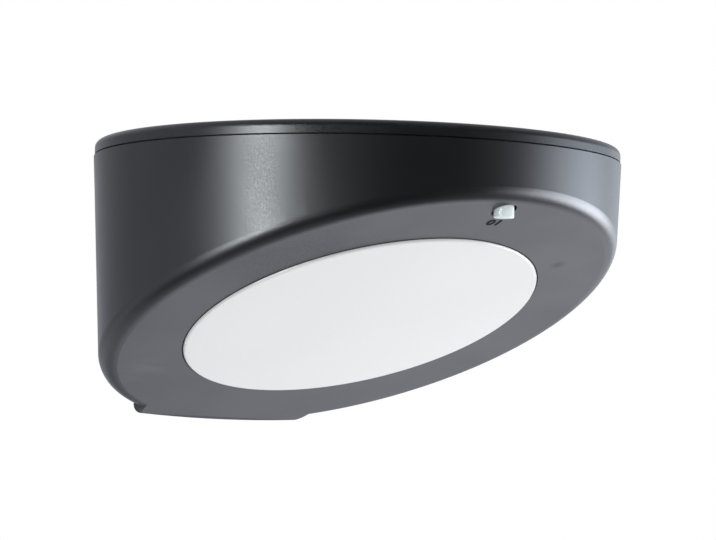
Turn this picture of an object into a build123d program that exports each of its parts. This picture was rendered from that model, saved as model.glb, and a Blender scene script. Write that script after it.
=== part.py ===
from build123d import *
import math
import os

# A half-round solar wall light. Millimetres, X along the wall, +Y into the wall, +Z up.
# The origin is midway between the two wall screws, on the wall.
# The lamp's round axis is upright, and its seam is where the lid meets the housing. Heights and
# depths named from the seam or the axis are in that frame, which LAMP puts in place.

# Outer form
BODY_R = 90.0
WALL_TO_AXIS = 79.4
SEAM_Z = 40.0
DRAFT = 0.043  # radius lost for each millimetre below the seam
SLOPE = 22.0
DEPTH_AT_AXIS = 54.0
RIM_ROUND = 5.5
SHELL = 2.5
ABOVE = 10.0  # how far the uncut form runs above the seam
BELOW = 110.0  # and below it
FAR = 300.0  # wider than the lamp, for cutting blocks

# Square foot at the back, where the rounded rim is filled out to the wall
FOOT_HALF = 35.7
FOOT_CORNER = 3.0
FOOT_HIGH = -78.0
FOOT_LOW = -85.0
FOOT_BOW = 1.03
FOOT_FROM_BACK = 8.5

# Rear cover, the opening that it closes, and its screws
REAR_T = 2.0
OPENING_TOP_HALF = 34.0
OPENING_LOW_HALF = 32.0
OPENING_HIGH = -5.5
OPENING_LOW = -73.0
OPENING_CORNER = 4.0
REAR_GROOVE = (0.8, 2.6)  # inner and outer distance from the opening
REAR_GROOVE_DEPTH = 1.2
REAR_SCREWS = [(-40.5, -8.0), (40.5, -8.0), (-33.5, -78.6), (33.5, -78.6)]
REAR_BOSS_R = 3.5
REAR_BOSS_LENGTH = 10.5

# Diffuser and what lies behind it, along the diffuser's own axis
DIFFUSER_R = 61.5
DIFFUSER_FROM_AXIS = 3.1
DIFFUSER_PROUD = 0.9
DIFFUSER_WALL = 2.0
DIFFUSER_FLANGE = 4.5
SEAL_T = 1.0
REFLECTOR_WALL = 3.1
LED_BOARD_R = 60.0
LED_BOARD_N = 14.0
LED_SCREW_ANGLES = [90, 210, 330]
LED_SCREW_PITCH_R = 57.2
LED_RINGS = [(14.0, 6), (29.0, 12), (44.0, 18)]  # radius and number of lamps
EAR_N = 10.0
EAR_T = 2.0
EAR_PITCH_R = 70.0
EAR_ANGLES = [0, 60, 120, 180, 240, 300]

# Lid
LID_R = 89.67
LID_TOP = 5.2
LID_GAP = 0.55
LID_EDGE_ROUND = 2.3
LID_WALL = 2.2
LID_FROM_WALL = 0.3
SKIRT_R = 87.0
SKIRT_T = 1.6
SKIRT_LOW = -3.0
SKIRT_BACK_GAP = 0.3
LID_RIB_T = 1.2
LID_RIB_LOW = -1.8
CLIP_ANGLES = [0, 180, 52, 128, -40, -140]
CLIP_W = 10.0
CLIP_LEDGE = (3.6, 12.0, 2.4)
CLIP_LEDGE_R = 88.0
CLIP_LEDGE_Z = -5.7

# Solar panel in the lid's top
PANEL_X = 120.0
PANEL_Y = 96.0
PANEL_CORNER = 3.5
PANEL_FROM_AXIS = 6.0
PANEL_FLOOR = 2.7
PANEL_BOARD_T = 1.0
PANEL_FIT = 0.3
CELL_COLUMNS = 2
CELL_ROWS = 6
CELL_X = 55.0
CELL_Y = 14.2
CELL_T = 0.25
CELL_GAP = 0.9
COLUMN_GAP = 2.4
RIBBON_W = 1.6
RIBBON_T = 0.1

# Wall bracket and the recess that it hangs in, from the wall screws
BRACKET_X = 56.0
BRACKET_Z = 40.0
BRACKET_T = 1.5
BRACKET_CORNER = 4.0
WALL_SCREW_SPACING = 40.0
WALL_SLOT_R = 2.25
WALL_SLOT_LENGTH = 8.0
HOOK_X = 18.0
HOOK_W = 12.0
HOOK_TIP_Z = 28.5
HOOK_OUT = 5.0
HOOK_ROOT_Z = 10.0
HOOK_BEND = 1.2
LEDGE_Z = 20.0
LIFT = 9.0  # how far the lamp lifts to come off its hooks
RECESS_DEPTH = 6.4
RECESS_WALL = 2.0
RECESS_FIT = 0.6
HANG_BAR_T = 3.2

# Push switch and its cap, from the round axis and the seam
BUTTON_X = -1.5
BUTTON_FROM_AXIS = 80.4
CAP_R = 3.36
CAP_HOLE_R = 4.2
CAP_BOTTOM = -24.0
CAP_TOP = -16.0
PLUNGER_R = 1.7
PLUNGER_SEAT = 4.5
FLANGE_R = 2.4
FLANGE_T = 0.8
PIN_R = 0.8
PIN_LENGTH = 1.8
SWITCH_W = 8.0
SWITCH_H = 6.5
SWITCH_WALL = 0.8
SPRING_R = 1.7
SPRING_WIRE_R = 0.17
SPRING_TURNS = 4
SWITCH_BOARD = (29.0, 11.6)
SWITCH_BOARD_FROM_AXIS = 78.8
SWITCH_BOARD_Z = -5.0
SWITCH_POSTS = [(BUTTON_X - 10.5, -77.0), (BUTTON_X + 10.5, -77.0)]
BOARD_T = 1.6

# Battery and its holder, from the wall
CELL_R = 9.15
CELL_LENGTH = 50.0
SLEEVE_T = 0.15
CELL_Z = 18.0
CELL_FIT = 0.15
HOLDER_STANDOFF = 5.0
HOLDER_FLOOR = 1.6
HOLDER_LENGTH = 58.4
HOLDER_HEIGHT = 22.4
HOLDER_FRONT = 3.5  # how far the holder's walls pass the cell's middle
BATTERY_SCREWS = [-20.0, 20.0]
CONTACT_T = 0.3
CONTACT_W = 9.0
COIL_R = 3.6
COIL_WIRE_R = 0.3
COIL_TURNS = 3

# Control board under the lid, from the round axis and the seam
CONTROL_X = 70.0
CONTROL_Y = 44.0
CONTROL_FROM_AXIS = 8.0
CONTROL_Z = -7.6
CONTROL_SCREW_X = 31.0
CONTROL_SCREW_Y = 18.0
CHIP_AT = (-14.0, -8.0)
INDUCTOR_AT = (2.0, -2.0)
CAPACITOR_AT = (16.0, -4.0)
PLUG_X = 6.4
PLUG_Y = 7.0
PLUG_H = 5.2
SWITCH_LEAD_X = BUTTON_X
SOLAR_LEAD_X = -20.0
LED_LEAD_X = 0.0
BATTERY_LEAD_X = 20.0
SOLAR_HOLE_Y = 34.0
SOLAR_HOLE_R = 2.5
LEAD_R = 0.6
LEAD_HALF_PITCH = 0.75

# Screws: shank radius, length, head radius, head height
REAR_SCREW = (1.48, 9.0, 2.75, 1.4)
REFLECTOR_SCREW = (1.48, 8.0, 2.7, 2.0)
LED_SCREW = (0.98, 5.8, 1.9, 1.4)
HOLDER_SCREW = (1.23, 7.0, 2.2, 1.2)
CONTROL_SCREW = (1.08, 7.0, 2.1, 1.5)
SWITCH_SCREW = (1.08, 6.5, 2.0, 1.3)

# Worked out from the above
BACK_Y = WALL_TO_AXIS - REAR_T
LID_BACK_Y = WALL_TO_AXIS - LID_FROM_WALL
SKIRT_BACK_Y = BACK_Y - SHELL - SKIRT_BACK_GAP
FLANGE_N = SHELL + SEAL_T
REFLECTOR_N = FLANGE_N + DIFFUSER_WALL
CELL_TOP = PANEL_FLOOR + PANEL_BOARD_T + CELL_T
RECESS_LOW_Z = -(BRACKET_Z / 2 + LIFT + 1)
RECESS_HIGH_Z = HOOK_TIP_Z + 1
HOLDER_BASE_Y = -RECESS_DEPTH - RECESS_WALL - HOLDER_STANDOFF
CELL_FROM_WALL = -HOLDER_BASE_Y + HOLDER_FLOOR + CELL_R + CELL_FIT
CONTACT_X = HOLDER_LENGTH / 2 - HOLDER_FLOOR
CELL_SHIFT_X = CONTACT_X - CONTACT_T - CELL_LENGTH / 2
SWITCH_LOW = SWITCH_BOARD_Z - SWITCH_H
CAVITY_TOP = SWITCH_BOARD_Z - SWITCH_WALL
FLANGE_TOP = SWITCH_LOW + 1.7
FRONT_EDGE = -CONTROL_FROM_AXIS - CONTROL_Y / 2
BACK_EDGE = -CONTROL_FROM_AXIS + CONTROL_Y / 2
PLUG_MID_Z = CONTROL_Z - PLUG_H / 2
CONTROL_SCREWS = [
    (side * CONTROL_SCREW_X, -CONTROL_FROM_AXIS + end * CONTROL_SCREW_Y)
    for side in (-1, 1)
    for end in (-1, 1)
]

# Frames: LAMP is the round axis at the seam. UNDER is the middle of the diffuser, with its local
# Z pointing squarely into the lamp. BUTTON is the cap's axis at the seam.
SIN = math.sin(math.radians(SLOPE))
COS = math.cos(math.radians(SLOPE))
TAN = math.tan(math.radians(SLOPE))
LAMP = Pos(0, -WALL_TO_AXIS, SEAM_Z)
UNDER_IN_LAMP = Plane(
    origin=(0, -DIFFUSER_FROM_AXIS, -DEPTH_AT_AXIS + TAN * DIFFUSER_FROM_AXIS),
    x_dir=(1, 0, 0),
    z_dir=(0, SIN, COS),
).location
UNDER = LAMP * UNDER_IN_LAMP
BUTTON = LAMP * Pos(BUTTON_X, -BUTTON_FROM_AXIS, 0)
CELL_PLACE = Pos(CELL_SHIFT_X, -CELL_FROM_WALL, CELL_Z) * Rot(0, 90, 0)

# Routes of the leads in Y and Z from the round axis and the seam, plug first
SWITCH_LEAD = [
    (FRONT_EDGE, PLUG_MID_Z),
    (-38.0, PLUG_MID_Z),
    (-50.0, -13.5),
    (-63.0, -16.0),
    (-71.5, -15.0),
    (-73.8, -10.5),
    (-73.8, SWITCH_BOARD_Z),
]
SOLAR_LEAD = [
    (BACK_EDGE, PLUG_MID_Z),
    (21.0, PLUG_MID_Z),
    (29.0, -11.5),
    (SOLAR_HOLE_Y, -6.0),
    (SOLAR_HOLE_Y, PANEL_FLOOR),
]
LED_LEAD = [
    (BACK_EDGE, PLUG_MID_Z),
    (21.0, PLUG_MID_Z),
    (29.0, -15.0),
    (32.5, -25.0),
    (30.5, -34.0),
]


# Shapes that repeat


def turned(profile_points):
    """A solid of revolution about the local Z axis from (radius, height) points."""
    outline = Polyline(*[(r, 0, h) for r, h in profile_points], close=True)
    return revolve(make_face(outline), Axis.Z)


def disc(radius, low, high, x=0.0, y=0.0):
    """An upright round between two heights."""
    return Pos(x, y, low) * extrude(Circle(radius), high - low)


def ring(outer, inner, low, high):
    """An upright tube between two heights."""
    return Pos(0, 0, low) * extrude(Circle(outer) - Circle(inner), high - low)


def slab(x_size, y_size, low, high, x=0.0, y=0.0, corner=0.0):
    """A flat plate with rounded corners between two heights."""
    outline = RectangleRounded(x_size, y_size, corner) if corner else Rectangle(x_size, y_size)
    return Pos(x, y, low) * extrude(outline, high - low)


def d_plate(radius, back, low, high):
    """The lamp's plan between two heights: a round cut off straight at the back."""
    behind = Pos(0, back + radius) * Rectangle(4 * radius, 2 * radius)
    return Pos(0, 0, low) * extrude(Circle(radius) - behind, high - low)


def across_back(sketch, y_from, depth):
    """Extrude a sketch drawn in X and Z toward the front, from a plane parallel to the wall."""
    plane = Plane(origin=(0, y_from, 0), x_dir=(1, 0, 0), z_dir=(0, -1, 0))
    return extrude(plane * sketch, depth)


def along_x(sketch, x_from, length):
    """Extrude a sketch drawn in Y and Z along X."""
    return extrude(Plane(origin=(x_from, 0, 0), x_dir=(0, 1, 0), z_dir=(1, 0, 0)) * sketch, length)


def before_back(y_back):
    """A block that holds everything in front of a plane parallel to the wall."""
    return slab(FAR, FAR, -FAR / 2, 2 * ABOVE, y=y_back - FAR / 2)


def cross_recess(head_r):
    """The outline of a cross recess in a screw's head."""
    arm = (1.1 * head_r, 0.28 * head_r)
    return Rectangle(*arm) + Rectangle(*reversed(arm))


def pan_screw(shank_r, length, head_r, head_h):
    """A pan-head screw standing on Z = 0, its shank pointing down."""
    head = fillet(disc(head_r, 0, head_h).edges().sort_by(Axis.Z)[-1], head_h * 0.45)
    shank = disc(shank_r, -length, 0)
    return head + shank - Pos(0, 0, head_h * 0.5) * extrude(cross_recess(head_r), head_h)


def flat_screw(shank_r, length, head_r, head_h):
    """A countersunk screw with its head's face on Z = 0, its shank pointing down."""
    body = turned(
        [(0, 0), (head_r, 0), (head_r, -0.2), (shank_r, -head_h), (shank_r, -length), (0, -length)]
    )
    return body - Pos(0, 0, -head_h * 0.6) * extrude(cross_recess(head_r), head_h)


def countersink(screw, clear, depth):
    """What a countersunk hole takes away, its mouth on Z = 0."""
    shank_r, _, head_r, head_h = screw
    return turned(
        [
            (0, 1),
            (head_r + clear, 1),
            (head_r + clear, -0.2),
            (shank_r + clear, -head_h),
            (shank_r + clear, -depth),
            (0, -depth),
        ]
    )


# Housing


def underside(inset):
    """The sloping plane that cuts the lamp off below, moved inward by an inset."""
    height = -DEPTH_AT_AXIS + inset / COS
    return Plane(origin=(0, 0, height), x_dir=(1, 0, 0), z_dir=(0, SIN, COS))


def sharp_form(inset):
    """The drafted round with its sloping underside, not rounded at the rim or cut at the back."""
    cone = Pos(0, 0, ABOVE) * Rot(0, 0, 90) * Cone(
        BODY_R - inset - DRAFT * BELOW,
        BODY_R - inset + DRAFT * ABOVE,
        ABOVE + BELOW,
        align=(Align.CENTER, Align.CENTER, Align.MAX),
    )
    return split(cone, bisect_by=underside(inset), keep=Keep.TOP)


def drafted_form(inset, rim_round):
    """The same form with its rim rounded."""
    form = sharp_form(inset)
    lowest = form.faces().sort_by(Axis.Z)[0]
    return fillet(lowest.edges(), rim_round)


def outer_form():
    """The outer form up to the seam, cut at the housing's back."""
    return drafted_form(0, RIM_ROUND) & before_back(BACK_Y) & slab(FAR, FAR, -FAR / 2, 0)


def foot(y_back, depth):
    """A square foot, rounded at its corners and bowed along its lower edge, cut off below."""
    half = FOOT_HALF
    low = FOOT_LOW
    face = make_face(
        [
            Line((-half, low), (-half, FOOT_HIGH)),
            Line((-half, FOOT_HIGH), (half, FOOT_HIGH)),
            Line((half, FOOT_HIGH), (half, low)),
            ThreePointArc((half, low), (0, low - FOOT_BOW), (-half, low)),
        ]
    )
    face = fillet(face.vertices().group_by(Axis.Y)[0], FOOT_CORNER)
    return split(across_back(face, y_back, depth), bisect_by=underside(0), keep=Keep.TOP)


def rear_opening(grow=0.0):
    """The opening in the housing's back wall, a little wider at the top."""
    top = OPENING_TOP_HALF + grow
    low = OPENING_LOW_HALF + grow
    high_z = OPENING_HIGH + grow
    low_z = OPENING_LOW - grow
    outline = Polyline((-top, high_z), (top, high_z), (low, low_z), (-low, low_z), close=True)
    face = make_face(outline)
    return fillet(face.vertices(), OPENING_CORNER + grow)


def housing_posts():
    """What stands inside the shell: posts, bosses, clip ledges and stiffening ribs."""
    for x, y in SWITCH_POSTS:
        yield disc(2.5, -60, SWITCH_BOARD_Z, x, y)
        yield Pos(x, y - 6, -30) * Box(1.4, 12, 38)
    for x, z in REAR_SCREWS:
        yield across_back(Pos(x, z) * Circle(REAR_BOSS_R), BACK_Y - 1, REAR_BOSS_LENGTH)
    for angle in CLIP_ANGLES:
        yield Rot(0, 0, angle) * Pos(CLIP_LEDGE_R, 0, CLIP_LEDGE_Z) * Box(*CLIP_LEDGE)
    for angle in EAR_ANGLES:
        yield UNDER_IN_LAMP * Rot(0, 0, angle) * disc(3.5, 0.5, EAR_N, EAR_PITCH_R)
    for angle in (-160, -120, -60, -20, 24, 156):
        yield Rot(0, 0, angle) * Pos(86, 0, -62) * Box(8, 1.4, 100)


def housing():
    """The drafted shell, open above, with a holed back wall and the bosses that everything screws to."""
    hollow = drafted_form(SHELL, RIM_ROUND - SHELL) & before_back(BACK_Y - SHELL)
    half_wall = drafted_form(SHELL / 2, RIM_ROUND - SHELL / 2) & before_back(BACK_Y - SHELL / 2)
    half_wall &= slab(FAR, FAR, -FAR / 2, -SHELL / 2)
    body = outer_form() + foot(BACK_Y, FOOT_FROM_BACK) - hollow
    for post in housing_posts():
        body += post & half_wall
    body -= UNDER_IN_LAMP * disc(DIFFUSER_R + 0.3, -2, SHELL + 0.5)
    body -= disc(CAP_HOLE_R, -40, CAP_TOP + 1, BUTTON_X, -BUTTON_FROM_AXIS)
    body -= across_back(rear_opening(), BACK_Y + 1, SHELL + 1)
    near, far = REAR_GROOVE
    body -= across_back(rear_opening(far) - rear_opening(near), BACK_Y, REAR_GROOVE_DEPTH)
    for angle in EAR_ANGLES:
        body -= UNDER_IN_LAMP * Rot(0, 0, angle) * disc(1.5, SHELL + 1, EAR_N + 1, EAR_PITCH_R)
    for x, y in SWITCH_POSTS:
        body -= disc(1.1, SWITCH_BOARD_Z - 6, SWITCH_BOARD_Z + 1, x, y)
    for x, z in REAR_SCREWS:
        body -= across_back(Pos(x, z) * Circle(1.5), BACK_Y + 1, REAR_BOSS_LENGTH - 0.5)
    return LAMP * body


# Back of the lamp


def recess_void():
    """The space behind the lamp that the wall bracket sits in, with a pocket for each hook."""
    low = RECESS_LOW_Z
    bed = Pos(0, (LEDGE_Z + low) / 2) * Rectangle(BRACKET_X + 2 * RECESS_FIT, LEDGE_Z - low)
    void = across_back(bed, 1, 1 + RECESS_DEPTH)
    pocket_low = LEDGE_Z - 1
    pocket = Rectangle(HOOK_W + 2, RECESS_HIGH_Z - pocket_low)
    for side in (-1, 1):
        spot = Pos(side * HOOK_X, (RECESS_HIGH_Z + pocket_low) / 2)
        void += across_back(spot * pocket, -HANG_BAR_T, RECESS_DEPTH - HANG_BAR_T)
    return void


def rear_cover():
    """A flat plate over the whole back, with the hanging recess and two bosses for the holder."""
    back_face = outer_form().faces().sort_by(Axis.Y)[-1]
    plate = split(extrude(back_face, REAR_T), bisect_by=underside(0), keep=Keep.TOP)
    plate += foot(WALL_TO_AXIS, REAR_T)
    box_half = BRACKET_X / 2 + RECESS_FIT + RECESS_WALL
    box_top = RECESS_HIGH_Z + RECESS_WALL
    box_low = RECESS_LOW_Z - RECESS_WALL
    outline = RectangleRounded(2 * box_half, box_top - box_low, 3)
    sunk = 0.5
    box = across_back(
        Pos(0, (box_top + box_low) / 2) * outline,
        -REAR_T + sunk,
        RECESS_DEPTH + RECESS_WALL - REAR_T + sunk,
    )
    cover = LAMP * plate + box
    for x in BATTERY_SCREWS:
        spot = Pos(x, CELL_Z)
        cover += across_back(spot * Circle(3.0), HOLDER_BASE_Y + HOLDER_STANDOFF + sunk,
                             HOLDER_STANDOFF + sunk)
        cover -= across_back(spot * Circle(1.25), -RECESS_DEPTH - 1.2, 8.0)
    cover -= recess_void()
    for x, z in REAR_SCREWS:
        cover -= Pos(x, 0, z + SEAM_Z) * Rot(-90, 0, 0) * countersink(REAR_SCREW, 0.15, 5)
    return cover


def rear_cover_seal():
    """A flat gasket pressed in the groove round the rear opening."""
    near, far = REAR_GROOVE
    gasket = rear_opening(far - 0.1) - rear_opening(near + 0.1)
    return LAMP * across_back(gasket, BACK_Y, REAR_GROOVE_DEPTH - 0.05)


def rear_cover_screws():
    """Four countersunk screws through the cover's corners."""
    place = [Pos(x, -0.1, z + SEAM_Z) * Rot(-90, 0, 0) for x, z in REAR_SCREWS]
    return [spot * flat_screw(*REAR_SCREW) for spot in place]


def hook():
    """One bent hook of the wall bracket: out along a ledge, then up."""
    out = -HOOK_OUT
    under_z = LEDGE_Z - BRACKET_T
    profile = make_face(
        Polyline(
            (0, HOOK_ROOT_Z),
            (0, LEDGE_Z),
            (out + BRACKET_T, LEDGE_Z),
            (out + BRACKET_T, HOOK_TIP_Z),
            (out, HOOK_TIP_Z),
            (out, under_z),
            (-BRACKET_T, under_z),
            (-BRACKET_T, HOOK_ROOT_Z),
            close=True,
        )
    )
    bends = [
        v for v in profile.vertices()
        if (round(v.X, 2), round(v.Y, 2)) in ((0, LEDGE_Z), (out, under_z))
    ]
    profile = fillet(bends, HOOK_BEND)
    tips = [v for v in profile.vertices() if abs(v.Y - HOOK_TIP_Z) < 0.01]
    profile = fillet(tips, BRACKET_T / 3)
    return along_x(profile, -HOOK_W / 2, HOOK_W)


def wall_bracket():
    """A pressed steel plate with two screw slots, and two hooks that the lamp's back hangs on."""
    height = BRACKET_Z - 3
    low = -BRACKET_Z / 2
    plate = Pos(0, low + height / 2) * RectangleRounded(BRACKET_X, height, BRACKET_CORNER)
    body = across_back(plate, 0, BRACKET_T)
    slot = SlotOverall(WALL_SLOT_LENGTH, 2 * WALL_SLOT_R)
    for side in (-1, 1):
        body += Pos(side * HOOK_X, 0, 0) * hook()
        body -= across_back(Pos(side * WALL_SCREW_SPACING / 2, 0) * slot, 1, 4)
    return body


# Lid and solar panel


def lid():
    """A shallow D-shaped lid with a tray for the panel, a skirt inside the wall, ribs and clips."""
    outside = d_plate(LID_R, LID_BACK_Y, LID_GAP, LID_TOP)
    top_edges = outside.faces().sort_by(Axis.Z)[-1].edges()
    outside = fillet([e for e in top_edges if e.geom_type == GeomType.CIRCLE], LID_EDGE_ROUND)
    tray_low = PANEL_FLOOR - LID_WALL
    tray = slab(PANEL_X + 5, PANEL_Y + 5, tray_low, LID_TOP - 1, y=-PANEL_FROM_AXIS, corner=5)
    inner_r = SKIRT_R - SKIRT_T
    inner_back = SKIRT_BACK_Y - SKIRT_T
    hollow = d_plate(inner_r, inner_back, LID_GAP - 1, LID_TOP - LID_WALL) - tray
    skirt = d_plate(SKIRT_R, SKIRT_BACK_Y, SKIRT_LOW, LID_GAP + 0.5)
    skirt -= d_plate(inner_r, inner_back, SKIRT_LOW - 1, LID_GAP + 1)
    body = outside - hollow + tray + skirt
    body -= slab(
        PANEL_X + 2 * PANEL_FIT,
        PANEL_Y + 2 * PANEL_FIT,
        PANEL_FLOOR,
        LID_TOP + 1,
        y=-PANEL_FROM_AXIS,
        corner=PANEL_CORNER + PANEL_FIT,
    )
    for side in (-1, 1):
        body += slab(LID_RIB_T, PANEL_Y, LID_RIB_LOW, tray_low, side * 42.0, -PANEL_FROM_AXIS)
        body += slab(PANEL_X, LID_RIB_T, LID_RIB_LOW, tray_low, y=side * 36.0 - PANEL_FROM_AXIS)
    for angle in CLIP_ANGLES:
        body += Rot(0, 0, angle) * lid_clip()
    for x, y in CONTROL_SCREWS:
        boss = disc(2.5, CONTROL_Z + BOARD_T, tray_low + 0.5, x, y)
        body += boss - disc(1.1, CONTROL_Z, 0.9, x, y)
    body -= disc(SOLAR_HOLE_R, -10, PANEL_FLOOR + 1, SOLAR_LEAD_X, SOLAR_HOLE_Y)
    return LAMP * body


def lid_clip():
    """One springy arm with a barb that catches under a ledge in the housing, drawn on the X side."""
    inner_r = SKIRT_R - SKIRT_T - 1.0
    outer_r = SKIRT_R - 1.0
    barb_z = CLIP_LEDGE_Z - CLIP_LEDGE[2] / 2 - 0.1
    tip_z = barb_z - 2.6
    outline = Polyline(
        (inner_r, LID_TOP - 2),
        (outer_r, LID_TOP - 2),
        (outer_r, barb_z),
        (outer_r + 0.9, barb_z - 0.1),
        (outer_r, tip_z),
        (inner_r, tip_z),
        close=True,
    )
    plane = Plane(origin=(0, CLIP_W / 2, 0), x_dir=(1, 0, 0), z_dir=(0, -1, 0))
    return extrude(plane * make_face(outline), CLIP_W)


def lid_seal():
    """A flat gasket on the housing's top edge, which shows as the dark line under the lid."""
    outline = d_plate(LID_R - 0.77, LID_BACK_Y - 0.8, 0, LID_GAP)
    return LAMP * (outline - d_plate(SKIRT_R + 0.2, SKIRT_BACK_Y + 0.2, -1, 1))


def solar_panel_board():
    """The stiff backing that carries the cells."""
    top = PANEL_FLOOR + PANEL_BOARD_T
    return LAMP * slab(PANEL_X, PANEL_Y, PANEL_FLOOR, top, y=-PANEL_FROM_AXIS, corner=PANEL_CORNER)


def cell_centres():
    """The middle of each cell, column by column."""
    for column in range(CELL_COLUMNS):
        for row in range(CELL_ROWS):
            x = (column - (CELL_COLUMNS - 1) / 2) * (CELL_X + COLUMN_GAP)
            y = (row - (CELL_ROWS - 1) / 2) * (CELL_Y + CELL_GAP) - PANEL_FROM_AXIS
            yield x, y


def solar_cells():
    """Twelve thin silicon strips in two columns."""
    low = CELL_TOP - CELL_T
    return [LAMP * slab(CELL_X, CELL_Y, low, CELL_TOP, x, y) for x, y in cell_centres()]


def solar_cell_ribbons():
    """Two flat tinned ribbons down each column of cells."""
    ribbons = []
    length = CELL_ROWS * (CELL_Y + CELL_GAP) - CELL_GAP
    for share in (-0.75, -0.25, 0.25, 0.75):
        x = share * (CELL_X + COLUMN_GAP)
        ribbon = slab(RIBBON_W, length, CELL_TOP, CELL_TOP + RIBBON_T, x, -PANEL_FROM_AXIS)
        ribbons.append(LAMP * ribbon)
    return ribbons


def solar_panel_cover():
    """The clear sheet over the cells, a little below the lid's top."""
    return LAMP * slab(
        PANEL_X,
        PANEL_Y,
        CELL_TOP + RIBBON_T,
        LID_TOP - 0.25,
        y=-PANEL_FROM_AXIS,
        corner=PANEL_CORNER,
    )


# Diffuser, reflector and lamps


def diffuser():
    """An opal pan: a flat face with a rounded edge, a short side and a flange behind the opening."""
    edge = DIFFUSER_PROUD
    flange_r = DIFFUSER_R + DIFFUSER_FLANGE
    inner_r = DIFFUSER_R - DIFFUSER_WALL
    inner_n = DIFFUSER_WALL - edge
    face = make_face(
        [
            Polyline((0, -edge), (DIFFUSER_R - edge, -edge)),
            RadiusArc((DIFFUSER_R - edge, -edge), (DIFFUSER_R, 0), -edge),
            Polyline(
                (DIFFUSER_R, 0),
                (DIFFUSER_R, FLANGE_N),
                (flange_r, FLANGE_N),
                (flange_r, REFLECTOR_N),
                (inner_r, REFLECTOR_N),
                (inner_r, inner_n),
                (0, inner_n),
                (0, -edge),
            ),
        ]
    )
    return UNDER * revolve(Plane.XZ * face, Axis.Z)


def diffuser_seal():
    """A flat ring between the diffuser's flange and the housing."""
    return UNDER * ring(DIFFUSER_R + DIFFUSER_FLANGE - 0.2, DIFFUSER_R + 0.9, SHELL, FLANGE_N)


def reflector():
    """A white cone between diffuser and lamp board, with six screwed ears that clamp the diffuser."""
    foot_r = DIFFUSER_R + DIFFUSER_FLANGE
    lip_n = LED_BOARD_N - 2
    lip_r = LED_BOARD_R + 0.5
    body = turned(
        [
            (59.6, REFLECTOR_N),
            (foot_r, REFLECTOR_N),
            (foot_r, REFLECTOR_N + 2),
            (61.2, REFLECTOR_N + 2),
            (lip_r - REFLECTOR_WALL, lip_n),
            (lip_r, lip_n),
            (lip_r, LED_BOARD_N),
            (54.5, LED_BOARD_N),
            (54.5, lip_n),
        ]
    )
    for angle in EAR_ANGLES:
        ear = slab(12.5, 9, EAR_N, EAR_N + EAR_T, 64.0)
        ear += disc(4.5, EAR_N, EAR_N + EAR_T, EAR_PITCH_R)
        ear -= disc(1.7, EAR_N - 1, EAR_N + 3, EAR_PITCH_R)
        web = Pos(62.3, 0, REFLECTOR_N + 3.4) * Box(7, 1.8, 4.4)
        body += Rot(0, 0, angle) * (ear + web)
    for angle in LED_SCREW_ANGLES:
        body += Rot(0, 0, angle) * disc(2.6, LED_BOARD_N - 5, LED_BOARD_N, LED_SCREW_PITCH_R)
    for angle in LED_SCREW_ANGLES:
        hole = disc(1.0, LED_BOARD_N - 4.4, LED_BOARD_N + 1, LED_SCREW_PITCH_R)
        body -= Rot(0, 0, angle) * hole
    return UNDER * body


def reflector_screws():
    """Six pan-head screws through the reflector's ears."""
    head_n = EAR_N + EAR_T
    place = [UNDER * Rot(0, 0, angle) * Pos(EAR_PITCH_R, 0, head_n) for angle in EAR_ANGLES]
    return [spot * pan_screw(*REFLECTOR_SCREW) for spot in place]


def led_board():
    """A round board with three screw holes."""
    board = disc(LED_BOARD_R, LED_BOARD_N, LED_BOARD_N + BOARD_T)
    for angle in LED_SCREW_ANGLES:
        board -= Rot(0, 0, angle) * disc(1.3, 0, 30, LED_SCREW_PITCH_R)
    return UNDER * board


def led_chips():
    """White surface-mount lamps on the board's lower face, in three rings."""
    chip_h = 0.8
    chips = []
    for ring_r, count in LED_RINGS:
        for step in range(count):
            chip = Pos(ring_r, 0, LED_BOARD_N - chip_h / 2) * Box(3.5, 2.8, chip_h)
            chips.append(UNDER * Rot(0, 0, 360 * step / count) * chip)
    return chips


def led_board_screws():
    """Three small screws that hold the lamp board to the reflector."""
    head_n = LED_BOARD_N + BOARD_T
    screws = []
    for angle in LED_SCREW_ANGLES:
        place = UNDER * Rot(0, 0, angle) * Pos(LED_SCREW_PITCH_R, 0, head_n)
        screws.append(place * pan_screw(*LED_SCREW))
    return screws


# Battery


def battery_cell():
    """A round lithium cell lying along X: rolled can, groove near the cap, raised positive button."""
    half = CELL_LENGTH / 2
    can_r = CELL_R - SLEEVE_T
    shoulder = half - 0.8
    return CELL_PLACE * turned(
        [
            (0, -half),
            (can_r, -half),
            (can_r, half - 4.6),
            (can_r - 0.7, half - 4.0),
            (can_r - 0.7, half - 3.4),
            (can_r, half - 2.8),
            (can_r, shoulder),
            (6.0, shoulder),
            (6.0, shoulder - 0.6),
            (3.0, shoulder - 0.6),
            (3.0, half),
            (0, half),
        ]
    )


def battery_sleeve():
    """The shrunk sleeve round the can."""
    half = CELL_LENGTH / 2
    return CELL_PLACE * ring(CELL_R, CELL_R - SLEEVE_T, -half, half - 0.8)


def battery_holder():
    """A trough that is open to the front, on two bosses of the rear cover."""
    floor_y = HOLDER_BASE_Y - HOLDER_FLOOR
    half = HOLDER_LENGTH / 2
    front_y = -CELL_FROM_WALL - HOLDER_FRONT
    middle_y = (HOLDER_BASE_Y + front_y) / 2
    outline = Pos(middle_y, CELL_Z) * Rectangle(HOLDER_BASE_Y - front_y, HOLDER_HEIGHT)
    bed = Pos(-CELL_FROM_WALL, CELL_Z) * Circle(CELL_R + CELL_FIT)
    mouth = Pos(-CELL_FROM_WALL - 10, CELL_Z) * Rectangle(20, 2 * CELL_R - 1.2)
    trough = along_x(outline, -half, HOLDER_LENGTH)
    trough -= along_x(bed + mouth, -half + HOLDER_FLOOR, HOLDER_LENGTH - 2 * HOLDER_FLOOR)
    for x in BATTERY_SCREWS:
        place = Pos(x, floor_y, CELL_Z) * Rot(90, 0, 0)
        trough -= place * countersink(HOLDER_SCREW, 0.15, 4)
    return trough


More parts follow.
